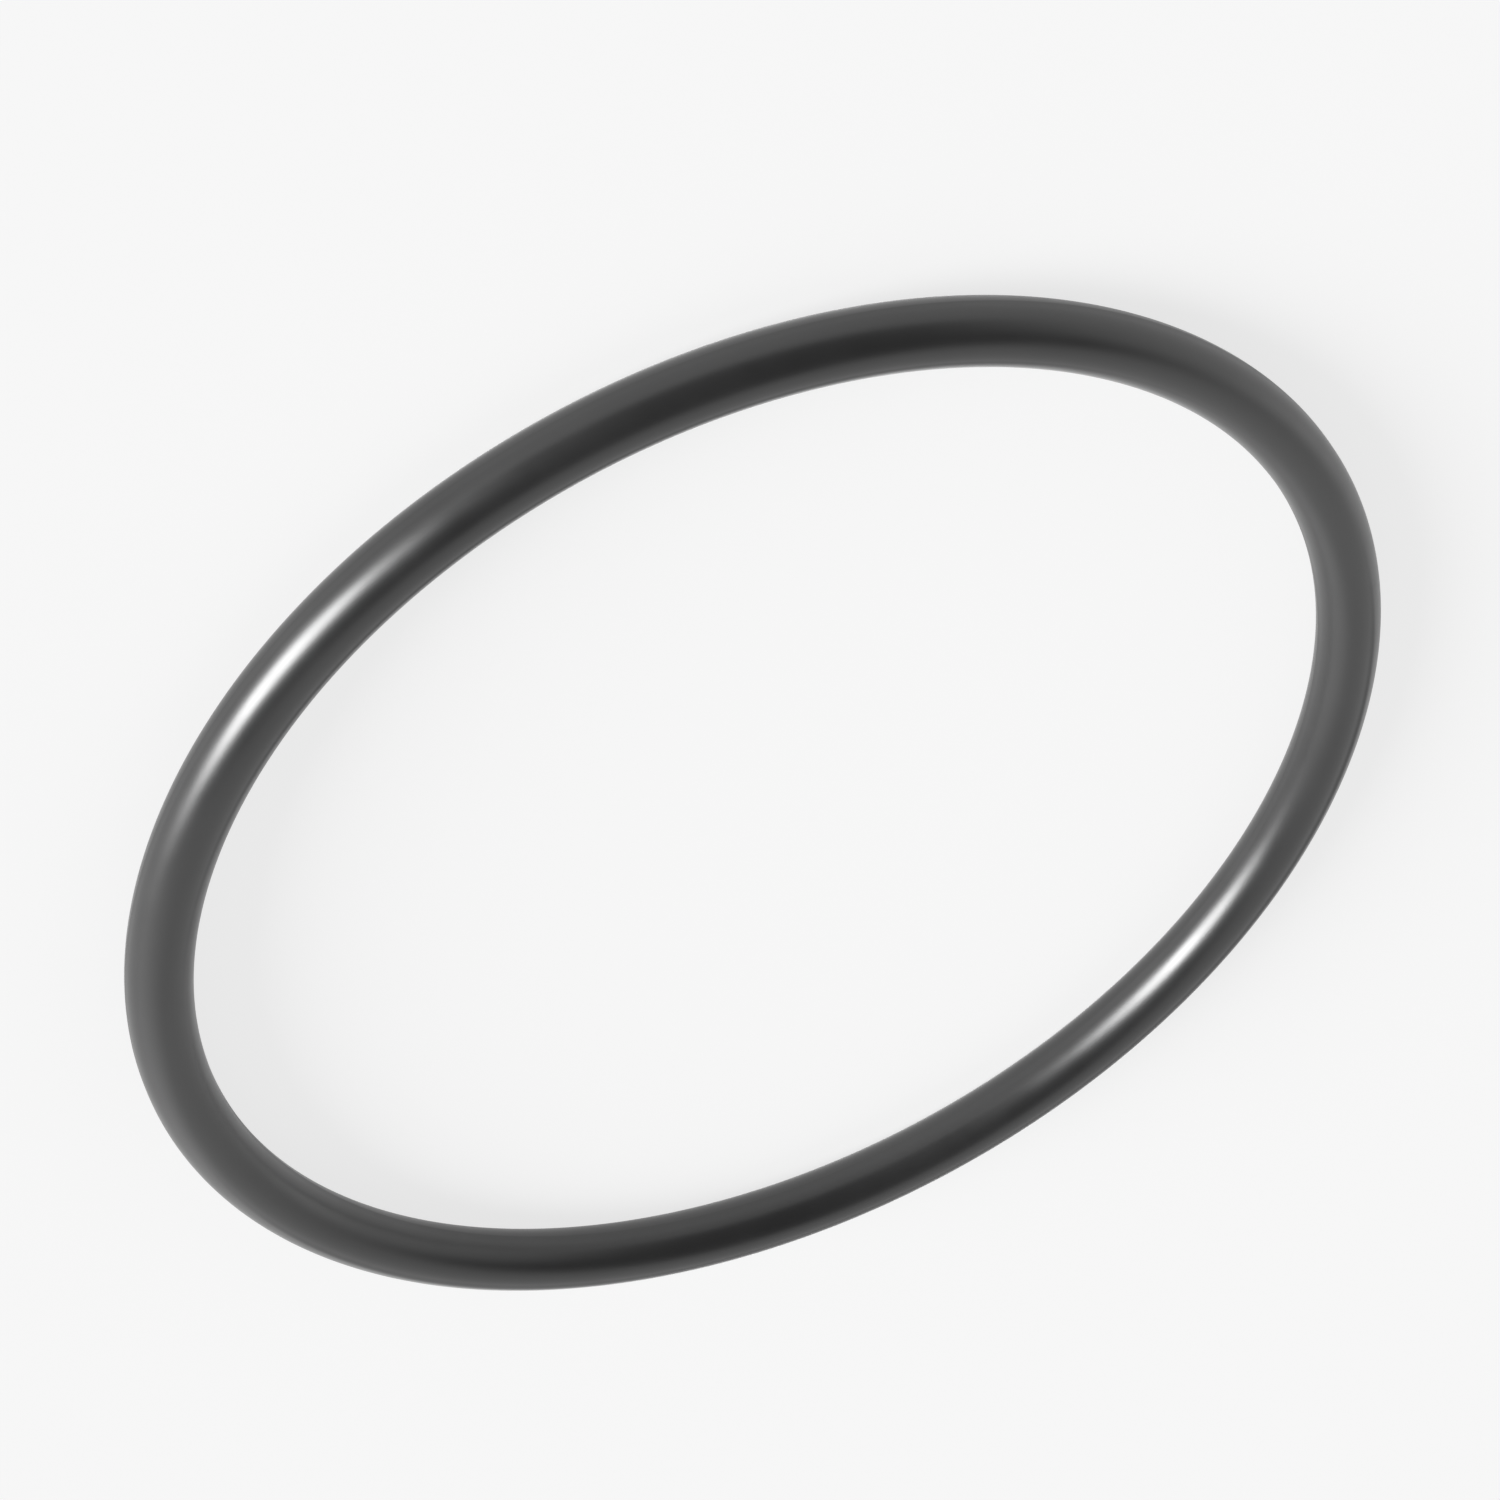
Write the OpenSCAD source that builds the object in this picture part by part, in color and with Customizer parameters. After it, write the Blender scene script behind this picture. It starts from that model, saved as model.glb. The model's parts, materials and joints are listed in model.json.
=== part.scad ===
// Rubber o-ring: one round cord of rubber, moulded as a closed ring.
// It lies flat, with its axis along Z and its centre at the origin.

/* [Ring] */
// Inside diameter, measured across the trimmed inner land
inside_d = 55; // [20:0.5:150]
// Diameter of the round section, which is also the ring's height
section_d = 3; // [1.5:0.1:7]

/* [Parting line] */
// Width of the flat land left where the mould's flash is trimmed off
land_w = 0.35; // [0.1:0.05:0.8]

/* [Hidden] */

// Facets once round the section, and once round the ring
section_facets = 72;
ring_facets = 240;

// From the middle of the section to either land, by Pythagoras
land_reach = sqrt(pow(section_d / 2, 2) - pow(land_w / 2, 2));

// Radius of the circle that the middle of the section follows
centre_r = inside_d / 2 + land_reach;

// The mould's two plates meet at mid-height, so the flash runs out at the
// inner and outer sides. Trimming it leaves the round section a little flat.
module trimmed_section() {
    intersection() {
        circle(d = section_d, $fn = section_facets);
        square([2 * land_reach, section_d], center = true);
    }
}

module o_ring() {
    color("#2e2e30")
        rotate_extrude($fn = ring_facets)
            translate([centre_r, 0])
                trimmed_section();
}

o_ring();
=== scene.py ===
# A rubber o-ring, lying flat on a pale floor under soft studio light.
import json
import math

import bmesh
import bpy
from mathutils import Matrix, Vector


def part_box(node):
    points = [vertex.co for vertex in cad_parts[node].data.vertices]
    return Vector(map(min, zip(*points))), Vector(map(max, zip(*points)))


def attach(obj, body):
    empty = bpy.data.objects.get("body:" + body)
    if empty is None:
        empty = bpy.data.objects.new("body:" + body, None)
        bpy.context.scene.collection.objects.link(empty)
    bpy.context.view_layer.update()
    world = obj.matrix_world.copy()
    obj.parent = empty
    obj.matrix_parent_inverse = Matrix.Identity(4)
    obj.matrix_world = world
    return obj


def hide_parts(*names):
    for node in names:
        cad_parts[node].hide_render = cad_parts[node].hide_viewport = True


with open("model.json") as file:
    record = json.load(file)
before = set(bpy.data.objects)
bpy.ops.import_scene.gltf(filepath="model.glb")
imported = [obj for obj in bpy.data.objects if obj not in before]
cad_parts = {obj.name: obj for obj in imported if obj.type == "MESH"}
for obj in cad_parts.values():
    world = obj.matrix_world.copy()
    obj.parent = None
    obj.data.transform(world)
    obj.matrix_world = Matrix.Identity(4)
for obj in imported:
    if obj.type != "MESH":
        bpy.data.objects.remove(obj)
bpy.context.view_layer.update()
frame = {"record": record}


# The ring
# One cord of black nitrile rubber, moulded as a closed ring between two mould plates. They meet
# at mid-height, and trimming the flash there leaves a narrow flat land inside and outside.
MM = 0.001
seats = {mount["name"]: mount["dims"] for mount in frame["record"]["mounts"]}
ring_low, ring_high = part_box("o_ring")
section_r = (ring_high.z - ring_low.z) / 2
inner_r = seats["inner_seat"]["r_mm"] * MM
land_half = seats["inner_seat"]["length_mm"] * MM / 2
land_reach = math.sqrt(section_r**2 - land_half**2)
centre_r = inner_r + land_reach
land_edge_r = 0.03 * MM
land_edge_steps = 3
section_sides = 80
ring_steps = 480


def cut_land(section, side):
    """Cuts the round section back to the flat land on its inner (-1) or outer (1) side."""
    bmesh.ops.bisect_plane(
        section,
        geom=section.verts[:] + section.edges[:] + section.faces[:],
        plane_co=(side * land_reach, 0, 0),
        plane_no=(side, 0, 0),
        clear_outer=True,
    )


def soften_land_edges(section):
    """Rounds the four corners that the lands leave on the section."""
    slack = section_r * 1e-4
    corners = [v for v in section.verts if abs(v.co.x) > land_reach - slack]
    bmesh.ops.bevel(
        section,
        geom=corners,
        offset=land_edge_r,
        offset_type="OFFSET",
        segments=land_edge_steps,
        profile=0.5,
        affect="VERTICES",
        material=-1,
    )


ring_shape = bmesh.new()
bmesh.ops.create_circle(ring_shape, cap_ends=True, radius=section_r, segments=section_sides)
cut_land(ring_shape, -1)
cut_land(ring_shape, 1)
soften_land_edges(ring_shape)
bmesh.ops.delete(ring_shape, geom=ring_shape.faces[:], context="FACES_ONLY")
bmesh.ops.rotate(ring_shape, verts=ring_shape.verts, matrix=Matrix.Rotation(math.pi / 2, 3, "X"))
bmesh.ops.translate(ring_shape, verts=ring_shape.verts, vec=(centre_r, 0, 0))
bmesh.ops.spin(
    ring_shape,
    geom=ring_shape.verts[:] + ring_shape.edges[:],
    cent=(0, 0, 0),
    axis=(0, 0, 1),
    angle=2 * math.pi,
    steps=ring_steps,
    use_merge=True,
)
bmesh.ops.recalc_face_normals(ring_shape, faces=ring_shape.faces)
for face in ring_shape.faces:
    face.smooth = True
ring_mesh = bpy.data.meshes.new("rubber_ring")
ring_shape.to_mesh(ring_mesh)
ring_shape.free()
ring = bpy.data.objects.new("rubber_ring", ring_mesh)
bpy.context.scene.collection.objects.link(ring)


def add_node(tree, kind, settings=None, **inputs):
    """Adds a shader node with its settings, and with its inputs as values or linked sockets."""
    node = tree.nodes.new(kind)
    for name, value in (settings or {}).items():
        setattr(node, name, value)
    for name, value in inputs.items():
        socket = node.inputs[name.replace("_", " ")]
        if isinstance(value, bpy.types.NodeSocket):
            tree.links.new(value, socket)
        else:
            socket.default_value = value
    return node


def add_math(tree, operation, first, second=0.0):
    """Adds a math node and returns its result."""
    node = tree.nodes.new("ShaderNodeMath")
    node.operation = operation
    for socket, value in zip(node.inputs, (first, second)):
        if isinstance(value, bpy.types.NodeSocket):
            tree.links.new(value, socket)
        else:
            socket.default_value = value
    return node.outputs[0]


def add_ramp(tree, value, start, end, low, high, curve="LINEAR"):
    """Goes from low to high while the value goes from start to end, and is level beyond them."""
    node = add_node(
        tree,
        "ShaderNodeMapRange",
        {"interpolation_type": curve},
        Value=value,
        From_Min=start,
        From_Max=end,
        To_Min=low,
        To_Max=high,
    )
    return node.outputs["Result"]


def add_noise(tree, place, width, detail=2.0):
    """Adds noise whose features are about this wide, in metres, and returns its value."""
    node = add_node(tree, "ShaderNodeTexNoise", Vector=place, Scale=1 / width, Detail=detail)
    return node.outputs["Fac"]


def spread(tree, noise, low, high):
    """Stretches the middle of a noise, where nearly all its values lie, to run from low to high."""
    return add_ramp(tree, noise, start=0.3, end=0.7, low=low, high=high)


rubber = bpy.data.materials.new("moulded_rubber")
rubber.use_nodes = True
tree = rubber.node_tree
place = add_node(tree, "ShaderNodeTexCoord").outputs["Object"]
along = add_node(tree, "ShaderNodeSeparateXYZ", Vector=place)
from_middle = add_math(tree, "ABSOLUTE", along.outputs["Z"])

# The mould was turned on a lathe, so its faint marks run round the ring: they depend only on how
# far a point lies from the axis and how high. The grain and the waviness run every way.
mark_width, mark_depth = 0.09 * MM, 0.0005 * MM
grain_width, grain_depth = 0.13 * MM, 0.0006 * MM
wave_width, wave_depth = 4.0 * MM, 0.010 * MM
flat_place = add_node(tree, "ShaderNodeCombineXYZ", X=along.outputs["X"], Y=along.outputs["Y"])
from_axis = add_node(
    tree, "ShaderNodeVectorMath", {"operation": "LENGTH"}, Vector=flat_place.outputs[0]
)
turned_place = add_node(
    tree, "ShaderNodeCombineXYZ", X=from_axis.outputs["Value"], Z=along.outputs["Z"]
)
lathe_marks = add_noise(tree, turned_place.outputs[0], mark_width)
grain = add_noise(tree, place, grain_width)
waviness = add_noise(tree, place, wave_width, detail=0.0)
grain_height = add_math(tree, "MULTIPLY", grain, grain_depth)
marks_height = add_math(tree, "MULTIPLY", lathe_marks, mark_depth)
wave_height = add_math(tree, "MULTIPLY", waviness, wave_depth)
relief = add_math(tree, "ADD", add_math(tree, "ADD", grain_height, marks_height), wave_height)
bump = add_node(tree, "ShaderNodeBump", Strength=1.0, Distance=1.0, Height=relief)

# Wax and handling leave a faint, cloudy bloom.
cloud_width = 9.0 * MM
clean_black = (0.009, 0.009, 0.0092, 1)
bloomed_black = (0.014, 0.014, 0.0142, 1)
bloom = spread(tree, add_noise(tree, place, cloud_width, detail=4.0), 0.0, 1.0)
cloud = add_node(tree, "ShaderNodeMix", {"data_type": "RGBA"}, Factor=bloom)
for name, colour in (("A", clean_black), ("B", bloomed_black)):
    next(s for s in cloud.inputs if s.name == name and s.type == "RGBA").default_value = colour
clouded = next(s for s in cloud.outputs if s.type == "RGBA")

# The skin is satin, a little more or less so from place to place.
patch_width = 2.2 * MM
smoothest, roughest = 0.33, 0.37
patches = add_noise(tree, place, patch_width, detail=3.0)
skin_roughness = spread(tree, patches, smoothest, roughest)

# The trimmed lands are rubbed dull. They are the only places this close to mid-height.
land_dullness = 0.1
dull_until = land_half - 0.01 * MM
dull_gone = land_half + 0.02 * MM
land = add_ramp(tree, from_middle, start=dull_until, end=dull_gone, low=1.0, high=0.0)
land_roughness = add_math(tree, "MULTIPLY", land, land_dullness)

# The bloom is a thin dull film on the ring's two faces. Seen at a glancing angle there is more of
# it in the way of the gloss, so a lamp from behind doesn't turn the top into a mirror.
film_edge = 0.86 * section_r
film_whole = 0.96 * section_r
glance_start, glance_full = 0.48, 0.66
film_dullness = 0.5
on_faces = add_ramp(tree, from_middle, film_edge, film_whole, 0.0, 1.0, curve="SMOOTHSTEP")
facing = add_node(tree, "ShaderNodeLayerWeight", Blend=0.5).outputs["Facing"]
glancing = add_ramp(
    tree, facing, glance_start, glance_full, 0.0, film_dullness, curve="SMOOTHSTEP"
)
film_roughness = add_math(tree, "MULTIPLY", on_faces, glancing)
roughness = add_math(
    tree, "ADD", add_math(tree, "ADD", skin_roughness, land_roughness), film_roughness
)

shader = tree.nodes["Principled BSDF"]
shader.inputs["IOR"].default_value = 1.7
shader.inputs["Sheen Weight"].default_value = 0.3
shader.inputs["Sheen Roughness"].default_value = 0.3
tree.links.new(clouded, shader.inputs["Base Color"])
tree.links.new(roughness, shader.inputs["Roughness"])
tree.links.new(bump.outputs["Normal"], shader.inputs["Normal"])
ring_mesh.materials.append(rubber)

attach(ring, "root")
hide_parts("o_ring")


# The floor
# A plain pale sheet, wide enough to reach the edge of every view. To the camera and in reflections
# most of its brightness is an even glow, so the ring's shadow on it stays faint.
floor_r = 4.0
floor_sides = 64
paper_white = (0.82, 0.82, 0.82, 1)
floor_level = 0.95
shadow_share = 0.2
floor_shape = bmesh.new()
bmesh.ops.create_circle(floor_shape, cap_ends=True, radius=floor_r, segments=floor_sides)
bmesh.ops.translate(floor_shape, verts=floor_shape.verts, vec=(0, 0, ring_low.z))
floor_mesh = bpy.data.meshes.new("floor")
floor_shape.to_mesh(floor_mesh)
floor_shape.free()
floor = bpy.data.objects.new("floor", floor_mesh)
bpy.context.scene.collection.objects.link(floor)

pale = bpy.data.materials.new("pale_floor")
pale.use_nodes = True
tree = pale.node_tree
paper = tree.nodes["Principled BSDF"]
paper.inputs["Base Color"].default_value = paper_white
paper.inputs["Roughness"].default_value = 1.0
paper.inputs["Specular IOR Level"].default_value = 0.0
glow = add_node(tree, "ShaderNodeEmission", Strength=floor_level)
rays = add_node(tree, "ShaderNodeLightPath").outputs
mirrored = add_math(tree, "MAXIMUM", rays["Is Glossy Ray"], rays["Is Transmission Ray"])
seen = add_math(tree, "MAXIMUM", rays["Is Camera Ray"], mirrored)
surface = add_node(
    tree, "ShaderNodeMixShader", Fac=add_math(tree, "MULTIPLY", seen, 1 - shadow_share)
)
tree.links.new(paper.outputs[0], surface.inputs[1])
tree.links.new(glow.outputs[0], surface.inputs[2])
tree.links.new(surface.outputs[0], tree.nodes["Material Output"].inputs["Surface"])
floor_mesh.materials.append(pale)


# The light
# One round lamp stands low beside the ring and makes its long highlights. The room is pale all
# round near the floor. Higher up it is bright behind the ring and dark elsewhere, apart from a
# soft panel on one side and a soft card on the other.
lamp_azimuth, lamp_elevation = 22.5, 18
lamp_width = 34
lamp_strength = 6.3


def direction(azimuth, elevation):
    """The direction of a compass bearing from +X towards +Y and a height, both in degrees."""
    turn, rise = math.radians(azimuth), math.radians(elevation)
    return Vector(
        (math.cos(turn) * math.cos(rise), math.sin(turn) * math.cos(rise), math.sin(rise))
    )


lamp = bpy.data.lights.new("key_lamp", "SUN")
lamp.energy = lamp_strength
lamp.angle = math.radians(lamp_width)
lamp_object = bpy.data.objects.new("key_lamp", lamp)
lamp_object.rotation_mode = "QUATERNION"
towards_lamp = direction(lamp_azimuth, lamp_elevation)
lamp_object.rotation_quaternion = towards_lamp.to_track_quat("Z", "Y")
bpy.context.scene.collection.objects.link(lamp_object)

world = bpy.data.worlds.new("studio")
world.use_nodes = True
bpy.context.scene.world = world
room = world.node_tree
looking = add_node(room, "ShaderNodeTexCoord").outputs["Generated"]


def add_glow(centre, level, middle, edge):
    """A soft patch of light around a direction, even up to middle degrees and gone at edge."""
    away = add_node(room, "ShaderNodeVectorMath", {"operation": "DOT_PRODUCT"}, Vector=looking)
    away.inputs[1].default_value = centre
    gone, whole = math.cos(math.radians(edge)), math.cos(math.radians(middle))
    return add_ramp(room, away.outputs["Value"], gone, whole, 0.0, level, curve="SMOOTHSTEP")


pale_below, dark_above = 9, 20
dark_level = 0.075
back_wall = add_glow(direction(azimuth=132.5, elevation=0), level=0.8, middle=65, edge=85)
panel = add_glow(direction(azimuth=92.5, elevation=8), level=0.48, middle=5, edge=40)
card = add_glow(direction(azimuth=229.5, elevation=8), level=0.92, middle=10, edge=45)
studio = add_math(room, "ADD", add_math(room, "ADD", back_wall, panel), card)
surround = add_ramp(
    room,
    add_node(room, "ShaderNodeSeparateXYZ", Vector=looking).outputs["Z"],
    start=math.sin(math.radians(pale_below)),
    end=math.sin(math.radians(dark_above)),
    low=floor_level,
    high=dark_level,
    curve="SMOOTHSTEP",
)
background = room.nodes["Background"]
background.inputs["Color"].default_value = (1, 1, 1, 1)
room.links.new(add_math(room, "MAXIMUM", studio, surround), background.inputs["Strength"])


# The camera
# It looks down on the ring, and is rolled over so that the ring's near side is at the top. Its
# place, roll and lens give the ring the same outline as in the photograph.
camera_aim = Vector((4.62, -3.94, 0)) * MM
camera_distance = 211.42 * MM
camera_azimuth, camera_elevation, camera_roll = -32.5, 38.679, 151.066
camera_data = bpy.data.cameras.new("camera")
camera_data.sensor_width = 36
camera_data.lens = 114.372
camera_data.clip_start = 0.001
camera_data.clip_end = 20
camera = bpy.data.objects.new("camera", camera_data)
towards_camera = direction(camera_azimuth, camera_elevation)
camera.location = camera_aim + towards_camera * camera_distance
camera.rotation_mode = "QUATERNION"
level_view = towards_camera.to_track_quat("Z", "Y")
camera.rotation_quaternion = (
    Matrix.Rotation(math.radians(camera_roll), 3, towards_camera).to_quaternion() @ level_view
)
bpy.context.scene.collection.objects.link(camera)
bpy.context.scene.camera = camera
bpy.context.scene.view_settings.view_transform = "Standard"
